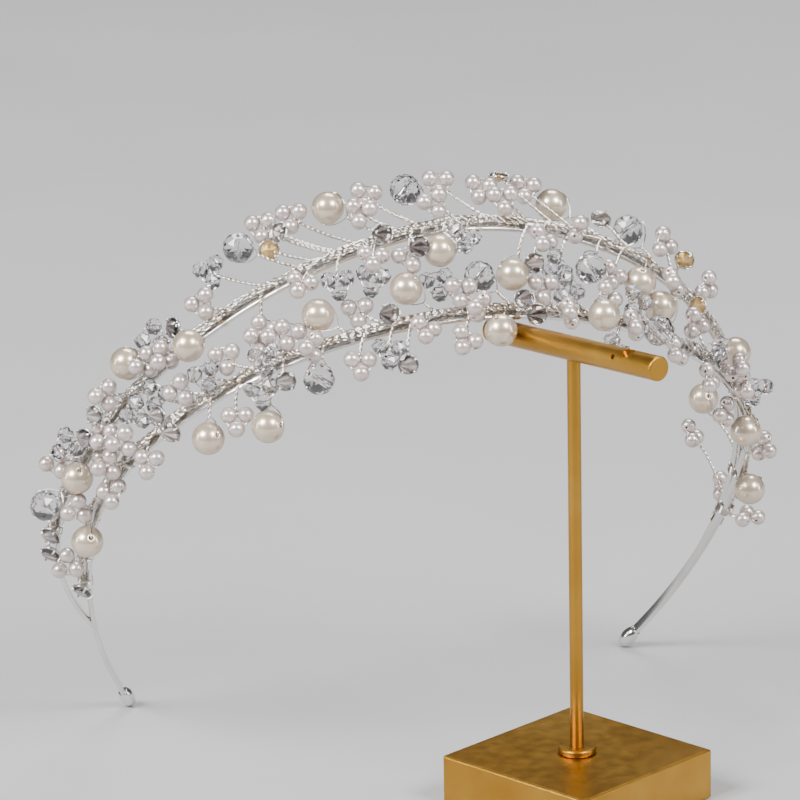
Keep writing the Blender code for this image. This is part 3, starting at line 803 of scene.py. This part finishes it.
def make_base(finish):
    """Square block with rounded edges, turned on the table."""
    half = Vector((BASE_SIDE, BASE_SIDE, BASE_HEIGHT)) / 2
    points = [(x * half.x, y * half.y, z * half.z) for x in (-1, 1) for y in (-1, 1) for z in (-1, 1)]
    sides = [(0, 1, 3, 2), (4, 6, 7, 5), (0, 4, 5, 1), (2, 3, 7, 6), (0, 2, 6, 4), (1, 5, 7, 3)]
    mesh = bpy.data.meshes.new("stand_base_body")
    mesh.from_pydata(points, [], sides)
    mesh.transform(Matrix.Rotation(BASE_TURN, 4, "Z") @ Matrix.Translation((0, 0, BASE_HEIGHT / 2)))
    mesh.materials.append(finish)
    mesh.polygons.foreach_set("use_smooth", [True] * len(sides))
    base = link_object("stand_base_body", mesh)
    soften = base.modifiers.new("Edge", "BEVEL")
    soften.width = BASE_EDGE
    soften.segments = 3
    even = base.modifiers.new("Flat", "WEIGHTED_NORMAL")
    even.keep_sharp = True
    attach(base, "root")
    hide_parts("stand_base")


def weld(mesh):
    """Join the rims of the ends to the sides, so that the mesh is closed."""
    bm = bmesh.new()
    bm.from_mesh(mesh)
    bmesh.ops.remove_doubles(bm, verts=bm.verts, dist=WELD_REACH)
    bm.to_mesh(mesh)
    bm.free()


def rod_profile(rod):
    """A rod between two heights with rounded rims, its side in equal bands."""
    _, radius, low, high, edge, bands, _ = rod
    rims = [pi / 2 * i / RIM_STEPS for i in range(RIM_STEPS + 1)]
    rows = [(END_RING_SHARE * radius, low)]
    rows += [(radius - edge + edge * sin(a), low + edge - edge * cos(a)) for a in rims]
    rows += [(radius, low + edge + (high - low - 2 * edge) * i / bands) for i in range(1, bands)]
    rows += [(radius - edge + edge * cos(a), high - edge + edge * sin(a)) for a in rims]
    rows.append((END_RING_SHARE * radius, high))
    return rows


def bar_frame():
    """X along the bar, from its middle over the post."""
    lie = Matrix.Rotation(BAR_TURN, 4, "Z") @ Matrix.Rotation(-BAR_TILT, 4, "Y")
    return Matrix.Translation((0, 0, BAR_HEIGHT)) @ lie


def make_rod(rod, place, finish):
    """One turned piece of the stand."""
    soup = Soup()
    lathe(soup, rod_profile(rod), rod.sides, place)
    return soup.make(rod.part + "_body", finish, "gold", [rod.part])


def cut_mark(bar, mark):
    """Drill the set screw's hole or the dimple into the bar."""
    along = bar_frame() @ Matrix.Translation((mark.place, 0, 0))
    around = Matrix.Rotation(mark.turn - pi / 2, 4, "X") @ Matrix.Translation((0, 0, BAR_RADIUS))
    drill = Soup()
    lathe(drill, [(mark.radius, -mark.depth), (mark.radius, mark.depth)], DRILL_SIDES, along @ around)
    mesh = drill.plain_mesh(mark.name)
    weld(mesh)
    cutter = link_object(mark.name, mesh)
    cut = bar.modifiers.new(mark.name, "BOOLEAN")
    cut.object = cutter
    cut.solver = "EXACT"
    depsgraph = bpy.context.evaluated_depsgraph_get()
    result = bpy.data.meshes.new_from_object(bar.evaluated_get(depsgraph))
    bar.modifiers.remove(cut)
    bar.data = result
    bpy.data.objects.remove(cutter)


def make_stand(looks):
    """Base, collar, post and bar."""
    make_base(looks["base"])
    make_rod(FLANGE, Matrix.Identity(4), looks["rods"])
    make_rod(POST, Matrix.Identity(4), looks["rods"])
    bar = make_rod(BAR, bar_frame() @ Matrix.Rotation(pi / 2, 4, "Y"), looks["rods"])
    weld(bar.data)
    for mark in BAR_MARKS:
        cut_mark(bar, mark)
    bar.data.set_sharp_from_angle(angle=BAR_CREASE)


# Hoop

def strip_outline():
    """Outline of the strip in its own across and rise."""
    wide, thick = STRIP_WIDTH / 2 - STRIP_EDGE, STRIP_THICKNESS / 2 - STRIP_EDGE
    rows = []
    for x, y, quarter in ((1, 1, 0), (-1, 1, 1), (-1, -1, 2), (1, -1, 3)):
        for i in range(STRIP_EDGE_STEPS + 1):
            a = pi / 2 * (quarter + i / STRIP_EDGE_STEPS)
            rows.append((x * wide + STRIP_EDGE * cos(a), y * thick + STRIP_EDGE * sin(a)))
    return np.array(rows)


def add_strip(soup, arc):
    """One strip from foot to foot."""
    outline = strip_outline()
    sides = len(outline)
    first, last = arc.stations[0], arc.stations[-1]
    stations = np.linspace(first, last, int((last - first) / STRIP_STEP) + 1)
    spot, _, outward, side = arc.frames(stations)
    across, rise = outline[None, :, :1], outline[None, :, 1:]
    verts = (spot[:, None] + across * side + rise * outward[:, None]).reshape(-1, 3)
    soup.add(verts, grid_faces(len(stations), sides), run_uv(stations, outline[:, 0]))
    soup.add_ends(verts, sides)


def cap_profile():
    """Blunt bullet of (radius, height) rows that narrows where the leg enters."""
    rows = []
    for i in range(1, CAP_STEPS):
        a = pi * i / CAP_STEPS
        rows.append((CAP_GIRTH * sin(a) ** CAP_BLUNTNESS, -CAP_REACH * cos(a)))
    rows[-1] = CAP_NECK
    return np.array(rows)


def make_end_cap(part, arc, foot, inward, finish):
    """Rounded cap on one end of the legs. Inward is 1 or -1, the way along the arc."""
    spot, tangent, outward, side = arc.frames([foot + inward * CAP_CENTRE])
    axes = np.stack((outward[0] * CAP_THICKNESS / 2, side * CAP_WIDTH / 2,
                     tangent[0] * inward * CAP_LENGTH / 2))
    rows = cap_profile()
    verts = turned(rows, CAP_SIDES) @ axes + spot[0]
    uv = run_uv(rows[:, 1] * CAP_LENGTH, corners(CAP_SIDES) / TAU * CAP_WIDTH)
    soup = Soup()
    soup.add(verts, grid_faces(len(rows), CAP_SIDES)[:, ::inward], uv)
    soup.add_ends(verts, CAP_SIDES, inward)
    soup.make(part + "_body", finish, "silver", [part])


def make_hoop(arcs, finish):
    """Both strips as one piece, and the caps on their feet."""
    soup = Soup()
    for arc in arcs.values():
        add_strip(soup, arc)
    soup.make("silver_hoop_strips", finish, "silver", ["silver_hoop"])
    front = arcs["front"]
    make_end_cap("end_cap_left", front, front.stations[0], 1, finish)
    make_end_cap("end_cap_right", front, front.stations[-1], -1, finish)


# Wire work

def squared(value, power):
    """A sine or cosine with its shape blown towards a square."""
    return np.sign(value) * np.abs(value) ** power


def add_wrap(soup, arc, centre, turns, top):
    """Turns of single wire round the strip and what lies on it, up to the given rise."""
    angle = np.linspace(0.0, TAU * turns, WRAP_POINTS * turns)
    stations = centre + (angle / TAU - turns / 2) * WRAP_PITCH + WRAP_WOBBLE * np.sin(angle)
    middle, half = (top + WRAP_LOW) / 2, (top - WRAP_LOW) / 2
    across = WRAP_ACROSS + WRAP_HALF * squared(np.cos(angle), WRAP_SIDE_POWER)
    rise = middle + half * squared(np.sin(angle), WRAP_TOP_POWER)
    _, tangent, _, _ = arc.frames([centre])
    tube(soup, arc.place(stations, across, rise), WIRE_RADIUS, tangent[0])


def wave(shape, stations, cord):
    """How a cord strays from its even turn along the band."""
    return shape.share * np.sin(stations / shape.length + shape.shift * cord)


def add_cord(soup, arc, first, last, cord):
    """One twisted pair that winds along the band with the others."""
    start = first + draw.uniform(*CORD_STAGGER_MM) * MM
    stop = last - draw.uniform(*CORD_STAGGER_MM) * MM
    stations = np.arange(start, stop, CORD_STEP)
    turn = TAU * (stations / CORD_PITCH + cord / CORDS) + wave(CORD_SWAY, stations, cord)
    orbit = CORD_ORBIT * (1.0 + wave(CORD_SWELL, stations, cord))
    across = CORD_ACROSS + ORBIT_WIDTH * orbit * np.cos(turn)
    rise = CORD_RISE + ORBIT_HEIGHT * orbit * np.sin(turn)
    path = arc.place(stations, across, rise)
    pitch = CORD_TWIST * draw.uniform(*CORD_TWIST_SHARE)
    twisted(soup, path, arc.rotation[:, 2], cord * CORD_PHASE, CORD_STRAND, pitch)


def make_bundle(band, arc, finish):
    """Cords of twisted wire that run along the band, with turns of wire round the strip."""
    first, last = BUNDLE_ENDS[band]
    soup = Soup()
    for cord in range(CORDS):
        add_cord(soup, arc, first, last, cord)
    for spot in np.arange(first + WRAP_SPACING, last - WRAP_SPACING / 2, WRAP_SPACING):
        centre = spot + draw.uniform(*WRAP_SCATTER_MM) * MM
        add_wrap(soup, arc, centre, draw.choice(WRAP_TURNS), WRAP_TOP)
    for spot in (first + END_WRAP_PLACE, last - END_WRAP_PLACE):
        add_wrap(soup, arc, spot, END_WRAP_TURNS, WRAP_TOP)
    soup.make(band + "_wire_bundle", finish, "silver_wire", [band + "_vine"])


class Plan:
    """Where a sprig sits: its root in the bundle, its head and the beads on it."""

    def __init__(self, arc, sprig, spin):
        self.sprig = sprig
        self.radius = RADII[sprig.kind]
        station, across, rise = sprig.station * MM, sprig.across * MM, sprig.rise * MM
        self.head = arc.place(station, across, rise)[0]
        self.set_root(arc, station, across, rise)
        _, _, outward, side = arc.frames([station])
        self.front = unit(outward[0] * FACING_RISE + side * FACING_ACROSS)
        self.turn_axes()
        self.set_beads(spin)

    def set_root(self, arc, station, across, rise):
        """The stem's root, and its end inside the bundle or on the leg past it."""
        sweep = FACE_SWEEP if across > 0 else BACK_SWEEP
        self.foot = station + sweep * hypot(across, rise - BUNDLE_RISE)
        bundle_end = BUNDLE_ENDS[self.sprig.band][1]
        self.on_leg = self.foot > bundle_end + MM
        bed = LEG_RISE if self.on_leg else BUNDLE_RISE
        near_end = bundle_end - STEM_BURIED < self.foot and not self.on_leg
        back = -STEM_BURIED if near_end else STEM_BURIED
        aside = BUNDLE_ACROSS + copysign(ROOT_SHIFT, across)
        self.root = arc.place(self.foot, aside, bed + ROOT_LIFT)[0]
        self.buried = arc.place(self.foot + back, BUNDLE_ACROSS, bed)[0]

    def turn_axes(self):
        """Stem's direction, the direction shown to the front, and the one across both."""
        self.way = unit(self.head - self.root)
        self.shown = unit(self.front - self.way * np.dot(self.front, self.way))
        self.side = np.cross(self.shown, self.way)

    def set_beads(self, spin):
        """Places of the beads about the head, and the way each of a cluster is strung."""
        self.beads = np.zeros((1, 3))
        if self.sprig.kind in ("pearls", "crystals"):
            angles = spin + corners(3)
            self.beads = self.radius * BEAD_SPREAD * swing(angles, self.way, self.side)
            self.strung = swing(angles, self.side, -self.way)


def blocking_balls(arcs):
    """Balls along both bands and the bar that the finer sprigs keep clear of."""
    bands = [arc.place(np.arange(arc.stations[0], arc.stations[-1], BAND_BALL_STEP),
                       BAND_BALL_ACROSS, BAND_BALL_RISE) for arc in arcs.values()]
    along = np.linspace(-BAR_LENGTH / 2, BAR_LENGTH / 2, BAR_BALLS)[:, None]
    bar_way = np.array(bar_frame().to_3x3() @ Vector((1, 0, 0)))
    bar = along * bar_way + np.array((0, 0, BAR_HEIGHT))
    bands = np.concatenate(bands)
    radii = np.concatenate((np.full(len(bands), BAND_BALL_RADIUS), np.full(len(bar), BAR_RADIUS)))
    return np.concatenate((bands, bar)), radii


def push_off(centres, radii, others, other_radii, same):
    """How far each bead moves off the others that it meets."""
    gap = centres[:, None] - others[None]
    far = np.linalg.norm(gap, axis=2) + TINY
    short = np.where(same, 0.0, radii[:, None] + other_radii[None] + SETTLE_GAP - far)
    return (gap * (np.clip(short, 0.0, None) / far)[:, :, None]).sum(1) * SETTLE_PUSH


def settle(plans, arcs):
    """Push the finer sprigs apart until their beads clear the others, the bands and the bar."""
    start = np.array([plan.head for plan in plans])
    heads = start.copy()
    owner = np.concatenate([np.full(len(plan.beads), i) for i, plan in enumerate(plans)])
    offsets = np.concatenate([plan.beads for plan in plans])
    radii = np.array([plans[i].radius for i in owner])
    blocks, block_radii = blocking_balls(arcs)
    low, high = np.array(cad_box[0]) + BOX_MARGIN, np.array(cad_box[1]) - BOX_MARGIN
    same = owner[:, None] == owner[None]
    for _ in range(SETTLE_ROUNDS):
        centres = heads[owner] + offsets
        push = push_off(centres, radii, centres, radii, same)
        push += push_off(centres, radii, blocks, block_radii, False)
        push += np.clip(low + radii[:, None] - centres, 0.0, None)
        push -= np.clip(centres + radii[:, None] - high, 0.0, None)
        push[owner < SOLID_SPRIGS] = 0.0
        for axis in range(3):
            heads[:, axis] += np.bincount(owner, push[:, axis], len(plans))
        heads += (start - heads) * SETTLE_SPRING
    for plan, head in zip(plans, heads):
        plan.head = head
        plan.turn_axes()


def add_stem(soup, plan, stop):
    """Twisted pair from inside the bundle to just short of the sprig's head, slightly bowed."""
    end = plan.head - plan.way * stop
    bow = plan.shown * draw.uniform(*BOW_OUT_MM) * MM + plan.side * draw.uniform(*BOW_ASIDE_MM) * MM
    lead = unit(plan.root - plan.buried) * STEM_LEAD * np.linalg.norm(end - plan.root)
    curve = bezier(plan.root, (plan.root + end) / 2 + bow + lead, end)
    path = np.concatenate((plan.buried[None], curve))
    twisted(soup, path, plan.shown, draw.uniform(0, TAU))


def add_loop(soup, plan, hole_axis):
    """Single wire from the stem's end over the bead into both mouths of its hole."""
    across = unit(hole_axis - plan.way * np.dot(hole_axis, plan.way))
    normal = np.cross(plan.way, across)
    reach = plan.radius + WIRE_RADIUS * LOOP_SPREAD
    angle = np.linspace(pi, 0.5 * pi, LOOP_POINTS)
    swell = 1.0 + LOOP_REACH * (2 * angle / pi - 1) ** 3
    for sign in (-1.0, 1.0):
        curve = swing(angle, plan.way, sign * across)
        inside = plan.head + sign * across * plan.radius * LOOP_INSIDE
        path = np.concatenate((plan.head + reach * swell[:, None] * curve, inside[None]))
        tube(soup, path, WIRE_RADIUS, normal)


def add_setting(soup, centre, axis, radius, backed):
    """Claw cup: a band under the girdle, a back cone unless it is open, and claws."""
    rows = axes_on(axis)
    matrix = np.eye(4)
    matrix[:3, :3] = rows.T
    matrix[:3, 3] = centre
    profile = CUP_PROFILE if backed else RIM_PROFILE
    lathe(soup, [(r * radius, h * radius) for r, h in profile], CUP_SIDES, matrix, closed=True)
    for k in range(CLAWS):
        a = TAU * (k + 0.5) / CLAWS
        out = cos(a) * rows[0] + sin(a) * rows[1]
        path = np.array([centre + out * radius * r + axis * radius * h for r, h in CLAW_PROFILE])
        path, _ = resample(path, CLAW_STEP)
        tube(soup, path, CLAW_RADIUS, np.cross(axis, out))


def make_large(plan, label, wires, looks):
    """A large bead on its wire loop, as a piece of its own."""
    twist = draw.uniform(-LARGE_TWIST, LARGE_TWIST)
    axis = plan.side * cos(twist) + plan.shown * sin(twist)
    soup = Soup()
    if plan.sprig.kind == "pearl":
        drilled_bead(soup, plan.head, axis, plan.radius * PEARL_SHARE, LARGE_PEARL)
        soup.make(label + "_nacre", looks["pearl"], "pearl", [label])
    else:
        faceted_bead(soup, plan.head, axis, plan.radius * CRYSTAL_SHARE, LARGE_CUT, twist)
        soup.make(label + "_cut", looks["crystal"], "crystal", [label], smooth=False)
        thread = plan.head + axis * (THREAD_SHARES[:, None] * plan.radius)
        tube(wires, thread, WIRE_RADIUS, plan.way)
    add_loop(wires, plan, axis)


def add_stone(soups, foils, plan, number):
    """A set stone in its claws. The foil-backed ones face the way FOILS_FACE says."""
    backed = plan.sprig.kind == "gem"
    facing = plan.way * STONE_LEAN + plan.front if backed else np.array(FOILS_FACE[number - 1])
    place = (plan.head, unit(facing), plan.radius)
    add_setting(soups["claw_settings"], *place, backed)
    faceted_bead(soups["stone_crowns"], *place, CROWN_CUT)
    # The back's facets are toned by turns, as painted glints and painted dark reflections.
    faceted_bead(soups["stone_backs"] if backed else foils, *place, PAVILION_CUT, glint_toned=True)


def add_cluster(soups, plan):
    """Three small beads, and the ring of wire that strings them."""
    for spot, strung in zip(plan.head + plan.beads, plan.strung):
        if plan.sprig.kind == "crystals":
            faceted_bead(soups["small_crystals"], spot, strung, plan.radius, SMALL_CUT, draw.uniform(0, 1))
        else:
            radius = plan.radius * draw.uniform(*SMALL_PEARL_SHARE)
            drilled_bead(soups["small_pearls"], spot, strung, radius, SMALL_PEARL)
    ring = swing(np.linspace(0, TAU, RING_POINTS + 1)[:-1], plan.way, plan.side)
    path = plan.head + plan.radius * BEAD_SPREAD * RING_SPREAD * ring
    tube(soups["stems"], path, WIRE_RADIUS, plan.shown, closed=True)


def make_plans(arcs):
    """Places of all sprigs, the finer ones settled between the others."""
    plans = []
    for number, sprig in enumerate(SPRIGS):
        most = SOLID_SPIN if number < SOLID_SPRIGS else FREE_SPIN
        plans.append(Plan(arcs[sprig.band], sprig, draw.uniform(-most, most)))
    settle(plans, arcs)
    return plans


def make_sprigs(arcs, looks):
    """Everything the stems carry, large beads one by one and small ones joined by band."""
    numbers = {}
    work = {band: {part: Soup() for part in BAND_PIECES} for band in arcs}
    foils = Soup()
    for plan in make_plans(arcs):
        band, kind = plan.sprig.band, plan.sprig.kind
        soups, wires = work[band], work[band]["stems"]
        numbers[kind] = numbers.get(kind, 0) + 1
        if plan.on_leg:
            add_wrap(wires, arcs[band], plan.foot + STEM_BURIED / 2, LEG_WRAP_TURNS, LEG_WRAP_TOP)
        if kind in ("pearl", "crystal"):
            add_stem(wires, plan, plan.radius * (1 + LOOP_REACH))
            make_large(plan, f"{kind}_{numbers[kind]:02d}", wires, looks)
            continue
        add_stem(wires, plan, STEM_STOP)
        if kind in ("gem", "foil"):
            add_stone(soups, foils, plan, numbers[kind])
        else:
            add_cluster(soups, plan)
    for band, soups in work.items():
        for part, (look, slot_name, smooth) in BAND_PIECES.items():
            soups[part].make(f"{band}_{part}", looks[look], slot_name, [band + "_vine"], smooth)
    foils.make("foil_stone_backs", looks["foil"], "crystal", ["back_vine"], smooth=False)


# Surroundings

def make_camera():
    """Camera at the photo's place and angle."""
    data = bpy.data.cameras.new("camera")
    data.sensor_width = SENSOR
    data.lens = SENSOR * FOCAL_PIXELS / FRAME_PIXELS
    data.clip_start = CLIP_NEAR
    data.clip_end = CLIP_FAR
    forward = Vector((sin(CAMERA_HEADING) * cos(CAMERA_PITCH),
                      cos(CAMERA_HEADING) * cos(CAMERA_PITCH), -sin(CAMERA_PITCH)))
    right = forward.cross(Vector((0, 0, 1))).normalized()
    up = right.cross(forward)
    c, s = cos(CAMERA_ROLL), sin(CAMERA_ROLL)
    rotation = Matrix((c * right - s * up, s * right + c * up, -forward)).transposed()
    camera = link_object("camera", data)
    camera.matrix_world = Matrix.Translation(CAMERA_PLACE) @ rotation.to_4x4()
    bpy.context.scene.camera = camera
    return camera


def make_floor():
    """Plain table top, just under the feet."""
    mesh = bpy.data.meshes.new("floor")
    low, high = -FLOOR_REACH, FLOOR_REACH
    mesh.from_pydata([(low, low, 0), (high, low, 0), (high, high, 0), (low, high, 0)], [], [(0, 1, 2, 3)])
    mesh.materials.append(floor_finish())
    floor = link_object("floor", mesh)
    floor.location.z = -FLOOR_DROP


def soft_light(camera, lamp):
    """A rectangular soft box, placed by its angles from the camera's line of sight."""
    azimuth, elevation = radians(lamp.azimuth), radians(lamp.elevation)
    axes = camera.matrix_world.to_3x3()
    way = axes @ Vector((sin(azimuth) * cos(elevation), sin(elevation),
                         cos(azimuth) * cos(elevation)))
    data = bpy.data.lights.new(lamp.name, "AREA")
    data.shape = "RECTANGLE"
    data.size = lamp.width
    data.size_y = lamp.height
    data.energy = lamp.power
    light = link_object(lamp.name, data)
    light.location = LAMP_TARGET + way * LAMP_DISTANCE
    light.rotation_euler = (-way).to_track_quat("-Z", "Y").to_euler()


def make_world():
    """Dim even light from all round."""
    world = bpy.data.worlds.new("studio")
    world.use_nodes = True
    sky = world.node_tree.nodes["Background"]
    sky.inputs["Color"].default_value = SKY_COLOR
    sky.inputs["Strength"].default_value = SKY_STRENGTH
    bpy.context.scene.world = world


def main():
    """The whole scene."""
    camera = make_camera()
    make_floor()
    make_world()
    for lamp in LAMPS:
        soft_light(camera, lamp)
    looks = make_looks()
    arcs = make_arcs()
    make_stand(looks)
    make_hoop(arcs, looks["strip"])
    for band, arc in arcs.items():
        make_bundle(band, arc, looks["wire"])
    make_sprigs(arcs, looks)


main()
